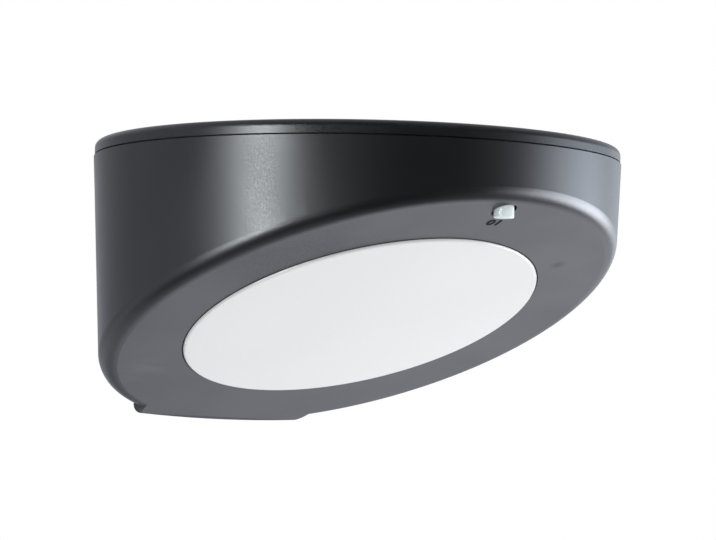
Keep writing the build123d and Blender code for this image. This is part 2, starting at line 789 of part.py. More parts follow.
def battery_holder_screws():
    """Two countersunk screws through the holder's floor into the rear cover."""
    head_y = HOLDER_BASE_Y - HOLDER_FLOOR + 0.05
    place = [Pos(x, head_y, CELL_Z) * Rot(90, 0, 0) for x in BATTERY_SCREWS]
    return [spot * flat_screw(*HOLDER_SCREW) for spot in place]


def contact(x):
    """A flat tinned contact across the trough, with a solder tab that leaves at the front."""
    face = Pos(-CELL_FROM_WALL, CELL_Z) * RectangleRounded(CONTACT_W, CONTACT_W, 1)
    tab = Pos(-CELL_FROM_WALL - 6.4, CELL_Z) * Rectangle(4.4, 4)
    return along_x(face, x, CONTACT_T) + along_x(tab, x, CONTACT_T)


def battery_contact_plate():
    """The contact at the positive end."""
    return contact(CONTACT_X - CONTACT_T)


def coil(radius, wire_r, turns, height):
    """A coil spring standing on Z = 0."""
    rise = height - 2 * wire_r
    centre = Helix(pitch=rise / turns, height=rise, radius=radius)
    start = Plane(origin=centre @ 0, z_dir=centre % 0)
    return Pos(0, 0, wire_r) * sweep(start * Circle(wire_r), path=centre, is_frenet=True)


def battery_contact_spring():
    """The coil at the negative end and the contact that it stands on."""
    low = -CONTACT_X + CONTACT_T + 0.04
    room = CELL_SHIFT_X - CELL_LENGTH / 2 - low - 0.04
    place = Pos(low, -CELL_FROM_WALL, CELL_Z) * Rot(0, 90, 0)
    return [contact(-CONTACT_X), place * coil(COIL_R, COIL_WIRE_R, COIL_TURNS, room)]


# Control board under the lid


def control_board():
    """The board with its four screw holes."""
    top = CONTROL_Z + BOARD_T
    board = slab(CONTROL_X, CONTROL_Y, CONTROL_Z, top, y=-CONTROL_FROM_AXIS, corner=1.5)
    for x, y in CONTROL_SCREWS:
        board -= disc(1.3, CONTROL_Z - 1, top + 1, x, y)
    return LAMP * board


def control_board_screws():
    """Four pan-head screws up into the lid's bosses."""
    place = [LAMP * Pos(x, y, CONTROL_Z) * Rot(180, 0, 0) for x, y in CONTROL_SCREWS]
    return [spot * pan_screw(*CONTROL_SCREW) for spot in place]


def controller_chip():
    """A small-outline package with eight legs, hanging under the board."""
    leg_pitch = 1.27
    body = Pos(0, 0, -1.0) * Box(5.0, 4.0, 1.5)
    for side in (-1, 1):
        for step in range(4):
            x = (step - 1.5) * leg_pitch
            body += Pos(x, side * 2.4, -0.5) * Box(0.45, 1.2, 1.0)
    return LAMP * Pos(*CHIP_AT, CONTROL_Z) * body


def inductor():
    """A drum core with its winding between two flanges."""
    body = turned(
        [
            (0, 0),
            (4.0, 0),
            (4.0, -1.0),
            (3.2, -1.3),
            (3.2, -4.2),
            (4.0, -4.5),
            (4.0, -5.5),
            (0, -5.5),
        ]
    )
    return LAMP * Pos(*INDUCTOR_AT, CONTROL_Z) * body


def capacitor():
    """A round can with a crimp near its foot."""
    can_r = 3.15
    body = turned(
        [
            (0, 0),
            (can_r, 0),
            (can_r, -1.4),
            (can_r - 0.25, -1.8),
            (can_r, -2.2),
            (can_r, -7.6),
            (can_r - 0.35, -8.0),
            (0, -8.0),
        ]
    )
    return LAMP * Pos(*CAPACITOR_AT, CONTROL_Z) * body


def lead_connectors():
    """Four side-entry plugs, one for each lead, at the board's front and back edges."""
    plugs = []
    for x, edge, out in (
        (SWITCH_LEAD_X, FRONT_EDGE, -1),
        (SOLAR_LEAD_X, BACK_EDGE, 1),
        (LED_LEAD_X, BACK_EDGE, 1),
        (BATTERY_LEAD_X, BACK_EDGE, 1),
    ):
        shell = Pos(x, edge - out * PLUG_Y / 2, PLUG_MID_Z) * Box(PLUG_X, PLUG_Y, PLUG_H)
        shell -= Pos(x, edge - out * 0.5, CONTROL_Z - PLUG_H) * Box(PLUG_X / 2, 4.0, 1.2)
        plugs.append(LAMP * shell)
    return plugs


# Push switch


def button_cap():
    """The white cap: an upright round with a softened end and a blind hole for the plunger."""
    body = disc(CAP_R, CAP_BOTTOM, CAP_TOP)
    body = fillet(body.edges().sort_by(Axis.Z)[0], 0.5)
    body = chamfer(body.edges().sort_by(Axis.Z)[-1], 0.4)
    return BUTTON * (body - disc(PLUNGER_R, CAP_TOP - PLUNGER_SEAT, CAP_TOP + 1))


def switch_plunger():
    """The switch's stem, its flange under the spring and the pin inside the coil."""
    body = disc(PLUNGER_R, CAP_TOP - PLUNGER_SEAT, FLANGE_TOP)
    body += disc(FLANGE_R, FLANGE_TOP - FLANGE_T, FLANGE_TOP)
    return BUTTON * (body + disc(PIN_R, FLANGE_TOP, FLANGE_TOP + PIN_LENGTH))


def switch_body():
    """The square case, bored for the flange and the stem."""
    body = slab(SWITCH_W, SWITCH_W, SWITCH_LOW, SWITCH_BOARD_Z, corner=0.6)
    body -= disc(FLANGE_R + 0.2, SWITCH_LOW + SWITCH_WALL, CAVITY_TOP)
    return BUTTON * (body - disc(PLUNGER_R + 0.06, SWITCH_LOW - 1, SWITCH_LOW + 1))


def switch_spring():
    """A compression spring between the plunger's flange and the roof of the switch."""
    room = CAVITY_TOP - FLANGE_TOP - 0.04
    return BUTTON * Pos(0, 0, FLANGE_TOP + 0.02) * coil(SPRING_R, SPRING_WIRE_R, SPRING_TURNS, room)


def switch_board():
    """A narrow board across the two posts."""
    top = SWITCH_BOARD_Z + BOARD_T
    board = slab(*SWITCH_BOARD, SWITCH_BOARD_Z, top, BUTTON_X, -SWITCH_BOARD_FROM_AXIS, corner=1.0)
    for x, y in SWITCH_POSTS:
        board -= disc(1.2, SWITCH_BOARD_Z - 1, top + 1, x, y)
    return LAMP * board


def switch_board_screws():
    """Two pan-head screws down into the posts."""
    place = [LAMP * Pos(x, y, SWITCH_BOARD_Z + BOARD_T) for x, y in SWITCH_POSTS]
    return [spot * pan_screw(*SWITCH_SCREW) for spot in place]


# Leads, each a pair of insulated wires held at both ends


def wire(points, name):
    """One insulated wire along straight runs joined by arcs as large as the runs allow."""
    radii = []
    for before, corner, after in zip(points, points[1:], points[2:]):
        run_in = Vector(*corner) - Vector(*before)
        run_out = Vector(*after) - Vector(*corner)
        half_turn = math.radians(run_in.get_angle(run_out)) / 2
        radii.append(0.45 * min(run_in.length, run_out.length) / math.tan(half_turn))
    path = FilletPolyline(*points, radius=radii)
    start = Plane(origin=path @ 0, z_dir=path % 0)
    body = sweep(start * Circle(LEAD_R), path=path)
    share = body.volume / (path.length * math.pi * LEAD_R**2)
    print(name, "radii", [round(r, 1) for r in radii])
    print(name, "length", round(path.length, 1), "volume ratio", round(share, 4))
    return LAMP * body


def flat_lead(points, x, name):
    """Two wires side by side, whose points are given in Y and Z."""
    sides = (-LEAD_HALF_PITCH, LEAD_HALF_PITCH)
    return [wire([(x + side, y, z) for y, z in points], name) for side in sides]


def switch_lead():
    """From the control board's front edge to the switch board."""
    return flat_lead(SWITCH_LEAD, SWITCH_LEAD_X, "switch lead")


def solar_lead():
    """From the control board up through the lid to the panel."""
    return flat_lead(SOLAR_LEAD, SOLAR_LEAD_X, "solar lead")


def led_lead():
    """The lamp board's pair ends squarely on the tilted board."""
    foot_y = 26.0
    foot_z = -DEPTH_AT_AXIS - TAN * foot_y + (LED_BOARD_N + BOARD_T) / COS
    last_run = 5.0
    points = LED_LEAD + [(foot_y + last_run * SIN, foot_z + last_run * COS), (foot_y, foot_z)]
    return flat_lead(points, LED_LEAD_X, "lamp lead")


def battery_lead():
    """One wire goes to each end of the battery holder."""
    tab_x = CONTACT_X - CONTACT_T / 2
    tab_y = WALL_TO_AXIS - CELL_FROM_WALL - 8.6
    tab_z = CELL_Z - SEAM_Z
    plus_x = BATTERY_LEAD_X + LEAD_HALF_PITCH
    minus_x = BATTERY_LEAD_X - LEAD_HALF_PITCH
    plus = [
        (plus_x, BACK_EDGE, PLUG_MID_Z),
        (plus_x, 20.0, PLUG_MID_Z),
        (23.0, 29.0, -13.0),
        (tab_x - 1, 36.5, -19.0),
        (tab_x, tab_y - 4, tab_z),
        (tab_x, tab_y, tab_z),
    ]
    minus = [
        (minus_x, BACK_EDGE, PLUG_MID_Z),
        (minus_x, 21.0, PLUG_MID_Z),
        (14.0, 31.0, -12.5),
        (3.0, 38.0, -15.5),
        (-10.0, 39.5, -18.5),
        (-21.0, 39.5, -21.0),
        (-tab_x, tab_y - 4, tab_z),
        (-tab_x, tab_y, tab_z),
    ]
    return [wire(plus, "battery lead plus"), wire(minus, "battery lead minus")]


NODES = [
    wall_bracket,
    housing,
    rear_cover,
    rear_cover_seal,
    rear_cover_screws,
    lid,
    lid_seal,
    solar_panel_board,
    solar_cells,
    solar_cell_ribbons,
    solar_panel_cover,
    diffuser,
    diffuser_seal,
    reflector,
    reflector_screws,
    led_board,
    led_chips,
    led_board_screws,
    battery_cell,
    battery_sleeve,
    battery_holder,
    battery_holder_screws,
    battery_contact_plate,
    battery_contact_spring,
    control_board,
    control_board_screws,
    controller_chip,
    inductor,
    capacitor,
    lead_connectors,
    button_cap,
    switch_plunger,
    switch_spring,
    switch_body,
    switch_board,
    switch_board_screws,
    switch_lead,
    solar_lead,
    led_lead,
    battery_lead,
]

os.makedirs("parts", exist_ok=True)
for make in NODES:
    made = make()
    shape = Compound(children=made) if isinstance(made, list) else made
    export_step(shape, "parts/" + make.__name__ + ".step")
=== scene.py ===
import math

import bmesh
import bpy
from mathutils import Matrix, Vector


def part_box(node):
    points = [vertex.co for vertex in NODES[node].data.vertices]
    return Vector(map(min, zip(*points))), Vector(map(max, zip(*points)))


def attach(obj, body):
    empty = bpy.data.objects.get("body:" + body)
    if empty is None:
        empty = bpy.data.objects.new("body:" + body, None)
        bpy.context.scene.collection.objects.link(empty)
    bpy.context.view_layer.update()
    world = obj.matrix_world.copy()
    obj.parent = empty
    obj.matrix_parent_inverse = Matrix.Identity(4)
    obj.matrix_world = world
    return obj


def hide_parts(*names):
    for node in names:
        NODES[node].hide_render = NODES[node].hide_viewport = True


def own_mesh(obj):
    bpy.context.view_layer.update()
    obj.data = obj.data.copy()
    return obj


# The looks of a half-round solar wall light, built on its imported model. Metres, X along the
# wall, +Y into the wall, +Z up, origin midway between the two wall screws.

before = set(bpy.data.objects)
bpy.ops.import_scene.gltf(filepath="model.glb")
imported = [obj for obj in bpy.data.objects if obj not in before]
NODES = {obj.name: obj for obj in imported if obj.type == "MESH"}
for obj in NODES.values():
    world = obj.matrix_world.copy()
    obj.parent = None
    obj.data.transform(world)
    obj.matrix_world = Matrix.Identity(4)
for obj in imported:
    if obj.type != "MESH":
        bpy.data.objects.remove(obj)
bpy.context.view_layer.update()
MM = 0.001

# Places read from the frame
HOUSING_LOW, HOUSING_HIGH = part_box("housing")
BODY_R = (HOUSING_HIGH.x - HOUSING_LOW.x) / 2
AXIS_Y = HOUSING_LOW.y + BODY_R
SEAM_Z = HOUSING_HIGH.z

# The sloping underside: its height on the lamp's axis, its outward normal and its own axes
SLOPE = math.radians(22.0)
UNDER_MIDDLE = Vector((0, AXIS_Y, SEAM_Z - 54.0 * MM))
UNDER_OUT = Vector((0, -math.sin(SLOPE), -math.cos(SLOPE)))
UNDER_BACK = Vector((0, math.cos(SLOPE), -math.sin(SLOPE)))

# Camera: where it looks from, found by fitting the lamp's outlines to the photo
AIM = Vector((0, AXIS_Y, 0))
CAMERA_AZIMUTH = math.radians(-37.794)
CAMERA_ELEVATION = math.radians(-4.178)
CAMERA_ROLL = math.radians(0.976)
CAMERA_DISTANCE = 1.4684
FOCAL_PIXELS = 4305.8
IMAGE_WIDTH = 716
IMAGE_HEIGHT = 540
CENTRE_X = 355.485
CENTRE_Y = 279.105
SENSOR = 36.0

# Studio. Azimuths are the camera's kind: 0 in front of the wall and +90 towards +X.
FLOOR_Z = -0.45
FLOOR_R = 6.0
FLOOR_COLOUR = (0.9, 0.9, 0.9, 1)
FLOOR_FADE = (0.5, 2.0)
WHITE = (1, 1, 1, 1)
MATT_LIGHT = 0.75
ROOM = 0.74
ROOM_DARK = 0.05
ROOM_DARK_AZIMUTH = math.radians(-15.0)
ROOM_DARK_EDGE = 0.64
STUDIO_TINT = (0.955, 0.995, 1.1, 1)

# Lamps: name, azimuth, elevation, distance, size and watts
LAMPS = [
    ("key", -60.0, 50.0, 1.6, 1.0, 12.0),
    ("fill", 40.0, 20.0, 1.6, 1.0, 5.0),
    ("low", 105.0, -28.0, 0.3, 0.25, 0.35),
]

# Bright patches of the studio that the gloss shows: azimuth, elevation, half width and half
# height in degrees, softness, the light added, and its colour
SOFT_BOXES = [
    (-79.8, -9.0, 8.4, 20.0, 0.4, 26.0, (0.95, 1, 1.015, 1)),
    (-48.0, -5.0, 14.0, 25.0, 0.8, 0.35, (0.97, 1, 1.05, 1)),
    (24.0, 0.0, 10.0, 16.0, 0.8, 0.2, (0.97, 1, 1.06, 1)),
    (71.5, -15.3, 26.0, 16.4, 0.5, 10.6, (0.965, 1, 1.08, 1)),
    (75.0, 6.0, 30.0, 9.0, 0.6, 0.1, (0.89, 1, 1.14, 1)),
    (112.0, -4.0, 14.0, 10.0, 0.7, 0.9, (0.93, 1, 1.1, 1)),
    (126.0, -58.0, 24.0, 10.0, 0.6, 0.8, (0.97, 1, 1.1, 1)),
    (118.0, -36.0, 15.0, 14.0, 0.7, 0.85, (0.97, 1, 1.1, 1)),
]
# The same for darker patches, with the share of the light that stays
DARK_PATCHES = [
    (-170.0, 2.0, 25.0, 18.0, 0.6, 0.62),
    (-105.0, -4.0, 9.0, 26.0, 0.5, 0.3),
    (60.0, -62.0, 30.0, 12.0, 0.6, 0.45),
    (-105.0, -58.0, 45.0, 22.0, 0.5, 0.35),
    (-126.0, 12.0, 22.0, 26.0, 0.7, 0.85),
    (150.0, -29.0, 16.0, 12.0, 0.7, 0.42),
]

# Marks beside the cap, on the underside from its middle: across, and towards the wall
MARK_RING_AT = (-0.25 * MM, -78.0 * MM)
MARK_RING = (1.0 * MM, 1.55 * MM)
MARK_BAR_AT = (2.7 * MM, -78.2 * MM)
MARK_BAR_HALF = 2.0 * MM
MARK_STROKE = 0.5 * MM
MARK_HEIGHT = 0.14 * MM
MARK_BEVEL = 0.08 * MM
MARK_ROOT = 0.1 * MM

# A dark ring round the diffuser, where it meets the underside: painted shade standing in for the
# shadow in the gap at the diffuser's edge
DIFFUSER_AT = (0.0, -3.1 * MM / math.cos(SLOPE))
DIFFUSER_R = 61.5 * MM
SHADE_RING_STROKE = 0.25 * MM
SHADE_RING_HEIGHT = 0.06 * MM

# Ribbons of the solar panel: half width, height, and how far both wander
RIBBON_HALF = 0.8 * MM
RIBBON_HEIGHT = 0.07 * MM
RIBBON_WANDER = 0.05 * MM
RIBBON_WAVE = 0.015 * MM
RIBBON_STEPS = 60

# The switch's spring: its wire, its turns, and its closed end turns with their pitch
SPRING_WIRE = 0.17 * MM
SPRING_TURNS = 6
SPRING_CLOSED = 0.8
SPRING_PITCH_CLOSED = 1.7 * SPRING_WIRE


def direction(azimuth, elevation):
    """The unit vector from the lamp towards a place in the studio."""
    return Vector((
        math.sin(azimuth) * math.cos(elevation),
        -math.cos(azimuth) * math.cos(elevation),
        math.sin(elevation),
    ))


def on_underside(across, back, out):
    """A point on the sloping underside, or a little outside it."""
    return UNDER_MIDDLE + Vector((across, 0, 0)) + UNDER_BACK * back + UNDER_OUT * out


def link(thing):
    bpy.context.scene.collection.objects.link(thing)
    return thing


class Graph:
    """Short ways to add nodes to one node tree."""

    def __init__(self, tree):
        self.tree = tree
        self.tree.nodes.clear()

    def add(self, kind, **settings):
        node = self.tree.nodes.new(kind)
        for name, value in settings.items():
            setattr(node, name, value)
        return node

    def join(self, source, target):
        self.tree.links.new(source, target)

    def feed(self, socket, value):
        """Sets a socket to a number, or links another socket to it."""
        if isinstance(value, bpy.types.NodeSocket):
            self.join(value, socket)
        else:
            socket.default_value = value

    def maths(self, operation, first, second=0.0, third=0.0):
        node = self.add("ShaderNodeMath", operation=operation)
        for socket, value in zip(node.inputs, (first, second, third)):
            self.feed(socket, value)
        return node.outputs[0]

    def smooth(self, value, low, high, to_low=0.0, to_high=1.0):
        """A smooth step from one value to another as the input goes from low to high."""
        node = self.add("ShaderNodeMapRange", interpolation_type="SMOOTHSTEP")
        for name, number in zip(("From Min", "From Max", "To Min", "To Max"),
                                (low, high, to_low, to_high)):
            self.feed(node.inputs[name], number)
        self.feed(node.inputs["Value"], value)
        return node.outputs["Result"]

    def blend(self, share, first, second):
        node = self.add("ShaderNodeMix", data_type="RGBA")
        self.feed(node.inputs["Factor"], share)
        sockets = [s for s in node.inputs if s.enabled and s.name in ("A", "B")]
        self.feed(sockets[0], first)
        self.feed(sockets[1], second)
        return [s for s in node.outputs if s.enabled][0]

    def place(self, stretch=(1, 1, 1)):
        """The object's own coordinates in metres, stretched by a factor along each axis."""
        where = self.add("ShaderNodeTexCoord").outputs["Object"]
        if stretch == (1, 1, 1):
            return where
        mapping = self.add("ShaderNodeMapping")
        mapping.inputs["Scale"].default_value = [1 / s for s in stretch]
        self.join(where, mapping.inputs["Vector"])
        return mapping.outputs["Vector"]

    def noise(self, where, size, detail=2.0):
        """Noise whose features are about that size across, in metres."""
        texture = self.add("ShaderNodeTexNoise")
        texture.inputs["Scale"].default_value = 0.5 / size
        texture.inputs["Detail"].default_value = detail
        self.join(where, texture.inputs["Vector"])
        return texture.outputs["Fac"]

    def lines(self, along, pitch, width):
        """1 on thin lines that repeat along one coordinate, and 0 between them."""
        phase = self.maths("FRACT", self.maths("DIVIDE", along, pitch))
        off = self.maths("ABSOLUTE", self.maths("SUBTRACT", phase, 0.5))
        half = 0.5 * width / pitch
        return self.smooth(off, half * 0.7, half * 1.3, 1.0, 0.0)

    def near(self, where, spot, size):
        """1 at a spot, falling to 0 at a distance from it."""
        distance = self.add("ShaderNodeVectorMath", operation="DISTANCE")
        self.join(where, distance.inputs[0])
        distance.inputs[1].default_value = spot
        return self.smooth(distance.outputs["Value"], 0.0, size, 1.0, 0.0)

    def bump(self, height, distance, below=None):
        node = self.add("ShaderNodeBump")
        node.inputs["Strength"].default_value = 1.0
        node.inputs["Distance"].default_value = distance
        self.join(height, node.inputs["Height"])
        if below:
            self.join(below, node.inputs["Normal"])
        return node.outputs["Normal"]


# Camera, studio and lamps


def make_camera():
    back = direction(CAMERA_AZIMUTH, CAMERA_ELEVATION)
    right = (-back).cross(Vector((0, 0, 1))).normalized()
    up = right.cross(-back)
    local_x = right * math.cos(CAMERA_ROLL) + up * math.sin(CAMERA_ROLL)
    local_y = up * math.cos(CAMERA_ROLL) - right * math.sin(CAMERA_ROLL)
    data = bpy.data.cameras.new("camera")
    camera = link(bpy.data.objects.new("camera", data))
    rotation = Matrix((local_x, local_y, back)).transposed().to_4x4()
    camera.matrix_world = Matrix.Translation(AIM + back * CAMERA_DISTANCE) @ rotation
    data.sensor_width = SENSOR
    data.lens = FOCAL_PIXELS * SENSOR / IMAGE_WIDTH
    data.shift_x = (IMAGE_WIDTH / 2 - CENTRE_X) / IMAGE_WIDTH
    data.shift_y = (CENTRE_Y - IMAGE_HEIGHT / 2) / IMAGE_WIDTH
    data.clip_start = 0.05
    data.clip_end = 50.0
    bpy.context.scene.camera = camera


def make_world():
    """White to the camera and through glass, and an even light on matt surfaces. Gloss shows a
    pale studio that is dark in front of the lamp, with brighter and darker patches round it."""
    world = bpy.data.worlds.new("studio")
    bpy.context.scene.world = world
    world.use_nodes = True
    g = Graph(world.node_tree)
    parts = g.add("ShaderNodeSeparateXYZ")
    g.join(g.add("ShaderNodeTexCoord").outputs["Generated"], parts.inputs[0])
    x, y, z = parts.outputs
    azimuth = g.maths("ARCTAN2", x, g.maths("MULTIPLY", y, -1.0))
    elevation = g.maths("ARCSINE", z)

    def patch(centre_azimuth, centre_elevation, half_width, half_height, softness):
        """1 inside a rounded patch of the studio, falling smoothly to 0 outside it."""
        aside = g.maths("SUBTRACT", azimuth, math.radians(centre_azimuth))
        aside = g.maths("WRAP", aside, math.pi, -math.pi)
        above = g.maths("SUBTRACT", elevation, math.radians(centre_elevation))
        cubes = 0.0
        for offset, half in ((aside, half_width), (above, half_height)):
            share = g.maths("ABSOLUTE", g.maths("DIVIDE", offset, math.radians(half)))
            cubes = g.maths("ADD", g.maths("POWER", share, 3), cubes)
        reach = g.maths("POWER", cubes, 1 / 3)
        return g.smooth(reach, 1 - softness, 1 + softness, 1.0, 0.0)

    front = direction(ROOM_DARK_AZIMUTH, 0.0)
    towards = g.maths("ADD", g.maths("MULTIPLY", x, front.x), g.maths("MULTIPLY", y, front.y))
    lit = g.smooth(towards, 0.0, ROOM_DARK_EDGE, ROOM, ROOM_DARK)
    for *shape, share in DARK_PATCHES:
        kept = g.maths("MULTIPLY_ADD", patch(*shape), share - 1, 1.0)
        lit = g.maths("MULTIPLY", lit, kept)
    tint = STUDIO_TINT
    for *shape, strength, colour in SOFT_BOXES:
        inside = patch(*shape)
        lit = g.maths("MULTIPLY_ADD", inside, strength, lit)
        tint = g.blend(inside, tint, colour)
    reflected = g.add("ShaderNodeBackground")
    g.join(tint, reflected.inputs["Color"])
    g.join(lit, reflected.inputs["Strength"])
    plain = g.add("ShaderNodeBackground")
    plain.inputs["Color"].default_value = WHITE
    plain.inputs["Strength"].default_value = MATT_LIGHT
    white = g.add("ShaderNodeBackground")
    white.inputs["Color"].default_value = WHITE
    white.inputs["Strength"].default_value = 1.0
    path = g.add("ShaderNodeLightPath")
    glossy = g.add("ShaderNodeMixShader")
    g.join(path.outputs["Is Glossy Ray"], glossy.inputs[0])
    g.join(plain.outputs[0], glossy.inputs[1])
    g.join(reflected.outputs[0], glossy.inputs[2])
    straight = g.maths("MAXIMUM", path.outputs["Is Camera Ray"],
                       path.outputs["Is Transmission Ray"])
    seen = g.add("ShaderNodeMixShader")
    g.join(straight, seen.inputs[0])
    g.join(glossy.outputs[0], seen.inputs[1])
    g.join(white.outputs[0], seen.inputs[2])
    g.join(seen.outputs[0], g.add("ShaderNodeOutputWorld").inputs["Surface"])


def make_floor():
    """A pale round floor well below the lamp, which fades to white outwards and is clear from
    below."""
    mesh = bpy.data.meshes.new("floor")
    shape = bmesh.new()
    bmesh.ops.create_circle(shape, cap_ends=True, segments=96, radius=FLOOR_R)
    shape.to_mesh(mesh)
    shape.free()
    floor = link(bpy.data.objects.new("floor", mesh))
    floor.location = (0, AXIS_Y, FLOOR_Z)
    floor.visible_glossy = False
    material = bpy.data.materials.new("floor")
    material.use_nodes = True
    g = Graph(material.node_tree)
    diffuse = g.add("ShaderNodeBsdfDiffuse")
    diffuse.inputs["Color"].default_value = FLOOR_COLOUR
    white = g.add("ShaderNodeEmission")
    clear = g.add("ShaderNodeBsdfTransparent")
    length = g.add("ShaderNodeVectorMath", operation="LENGTH")
    g.join(g.place(), length.inputs[0])
    camera_ray = g.add("ShaderNodeLightPath").outputs["Is Camera Ray"]
    far = g.maths("MULTIPLY", g.smooth(length.outputs["Value"], *FLOOR_FADE), camera_ray)
    fade = g.add("ShaderNodeMixShader")
    g.join(far, fade.inputs[0])
    g.join(diffuse.outputs[0], fade.inputs[1])
    g.join(white.outputs[0], fade.inputs[2])
    below = g.add("ShaderNodeMixShader")
    g.join(g.add("ShaderNodeNewGeometry").outputs["Backfacing"], below.inputs[0])
    g.join(fade.outputs[0], below.inputs[1])
    g.join(clear.outputs[0], below.inputs[2])
    g.join(below.outputs[0], g.add("ShaderNodeOutputMaterial").inputs["Surface"])
    mesh.materials.append(material)


def make_lamp(name, azimuth, elevation, distance, size, power):
    """A soft square light that shines on the lamp and isn't seen in its gloss or its glass."""
    data = bpy.data.lights.new(name, "AREA")
    data.shape = "SQUARE"
    data.size = size
    data.energy = power
    light = link(bpy.data.objects.new(name, data))
    towards = direction(math.radians(azimuth), math.radians(elevation))
    light.location = AIM + towards * distance
    light.rotation_mode = "QUATERNION"
    light.rotation_quaternion = (-towards).to_track_quat("-Z", "Y")
    light.visible_glossy = False
    light.visible_camera = False
    light.visible_transmission = False


# Materials

DUST = (0.3, 0.3, 0.3, 1)
SWAY_SIZE = 45 * MM
SILICON_BLUE = (0.011, 0.02, 0.078)
CRYSTAL_SIZE = 7 * MM
FINGER_COLOUR = (0.36, 0.38, 0.42, 1)
FINGER_PITCH = 1.6 * MM
FINGER_WIDTH = 0.11 * MM
TRACK_PITCH = 2.54 * MM
TRACK_WIDTH = 0.9 * MM


def surface(name):
    """A new material with its graph and its one main shader."""
    material = bpy.data.materials.new(name)
    material.use_nodes = True
    g = Graph(material.node_tree)
    shader = g.add("ShaderNodeBsdfPrincipled")
    g.join(shader.outputs[0], g.add("ShaderNodeOutputMaterial").inputs["Surface"])
    return material, g, shader


def shades(g, share, colour, variation):
    """A colour that varies by a share of itself to both sides."""
    darker = tuple(c * (1 - variation) for c in colour) + (1,)
    lighter = tuple(min(c * (1 + variation), 1.0) for c in colour) + (1,)
    return g.blend(g.smooth(share, 0.3, 0.7), darker, lighter)


def moulded(name, colour, roughness, grain=0.4, height=0.008, cloud=18.0, variation=0.1,
            wear=0.05, sway=0.0, scuffs=(), **sockets):
    """Moulded plastic, rubber or lacquer: faint flow variation, a fine eroded grain, uneven
    gloss, hair scratches, broad sink and sway of a large wall, and spots that are rubbed or
    dusty. Grain, height, cloud and sway are in millimetres."""
    material, g, shader = surface(name)
    where = g.place()
    broad = g.noise(where, cloud * MM)
    fine = g.noise(where, grain * MM, 3.0)
    base = shades(g, broad, colour, variation)
    hair = g.noise(g.place((30, 1.5, 1)), 0.5 * MM, 1.0)
    scratch = g.smooth(hair, 0.7, 0.85, 0.0, -wear)
    uneven = g.maths("ADD", g.maths("MULTIPLY", broad, 0.6), g.maths("MULTIPLY", fine, 0.4))
    gloss = g.maths("ADD", g.smooth(uneven, 0.3, 0.7, roughness - wear, roughness + wear), scratch)
    for spot, size, change, dust in scuffs:
        rubbed = g.maths("MULTIPLY", g.near(where, spot, size), g.smooth(fine, 0.2, 0.6))
        gloss = g.maths("MULTIPLY_ADD", rubbed, change, gloss)
        if dust:
            streaks = g.smooth(g.noise(g.place((4, 1, 1)), 2 * MM), 0.35, 0.65, 0.0, dust)
            base = g.blend(g.maths("MULTIPLY", rubbed, streaks), base, DUST)
    g.join(base, shader.inputs["Base Color"])
    g.join(gloss, shader.inputs["Roughness"])
    wave = g.bump(broad, 0.02 * MM)
    if sway:
        wave = g.bump(g.noise(where, SWAY_SIZE, 1.0), sway * MM, wave)
    g.join(g.bump(fine, height * MM, wave), shader.inputs["Normal"])
    for socket, value in sockets.items():
        shader.inputs[socket.replace("_", " ")].default_value = value
    return material


def metal(name, colour, roughness, brush=(1, 1, 1), grain=0.25, height=0.003, spangle=6.0,
          variation=0.08):
    """Plated or brushed metal: patches of slightly different gloss and a fine grain."""
    material, g, shader = surface(name)
    shader.inputs["Metallic"].default_value = 1.0
    cells = g.add("ShaderNodeTexVoronoi")
    cells.inputs["Scale"].default_value = 1 / (spangle * MM)
    g.join(g.place(), cells.inputs["Vector"])
    tone = g.add("ShaderNodeSeparateXYZ")
    g.join(cells.outputs["Color"], tone.inputs[0])
    fine = g.noise(g.place(brush), grain * MM, 3.0)
    g.join(shades(g, tone.outputs[0], colour, variation), shader.inputs["Base Color"])
    mixed = g.maths("ADD", g.maths("MULTIPLY", tone.outputs[1], 0.4),
                    g.maths("MULTIPLY", fine, 0.6))
    g.join(g.smooth(mixed, 0.2, 0.8, roughness - 0.08, roughness + 0.1),
           shader.inputs["Roughness"])
    g.join(g.bump(fine, height * MM), shader.inputs["Normal"])
    return material


def silicon(name):
    """Dark blue crystalline silicon with fine silver lines across each strip."""
    material, g, shader = surface(name)
    parts = g.add("ShaderNodeSeparateXYZ")
    g.join(g.place(), parts.inputs[0])
    fingers = g.lines(parts.outputs[1], FINGER_PITCH, FINGER_WIDTH)
    crystals = g.add("ShaderNodeTexVoronoi")
    crystals.inputs["Scale"].default_value = 1 / CRYSTAL_SIZE
    g.join(g.place((1.6, 1, 1)), crystals.inputs["Vector"])
    tone = g.add("ShaderNodeSeparateXYZ")
    g.join(crystals.outputs["Color"], tone.inputs[0])
    blue = shades(g, tone.outputs[0], SILICON_BLUE, 0.35)
    g.join(g.blend(fingers, blue, FINGER_COLOUR), shader.inputs["Base Color"])
    g.join(g.smooth(tone.outputs[1], 0.0, 1.0, 0.18, 0.3), shader.inputs["Roughness"])
    g.join(g.bump(fingers, 0.02 * MM), shader.inputs["Normal"])
    shader.inputs["Specular IOR Level"].default_value = 0.15
    return material


def clear_sheet(name):
    """A clear moulded sheet with a faint orange peel and light dust. Its index is low because
    only its top face reflects on the real one, whose cells are bonded to it."""
    material, g, shader = surface(name)
    where = g.place()
    dust = g.noise(where, 0.6 * MM, 4.0)
    g.join(g.smooth(dust, 0.6, 0.8, 0.03, 0.16), shader.inputs["Roughness"])
    g.join(g.bump(g.noise(where, 2.5 * MM), 0.006 * MM), shader.inputs["Normal"])
    g.join(shades(g, dust, (0.93, 0.95, 0.955), 0.02), shader.inputs["Base Color"])
    shader.inputs["Transmission Weight"].default_value = 1.0
    shader.inputs["IOR"].default_value = 1.3
    return material


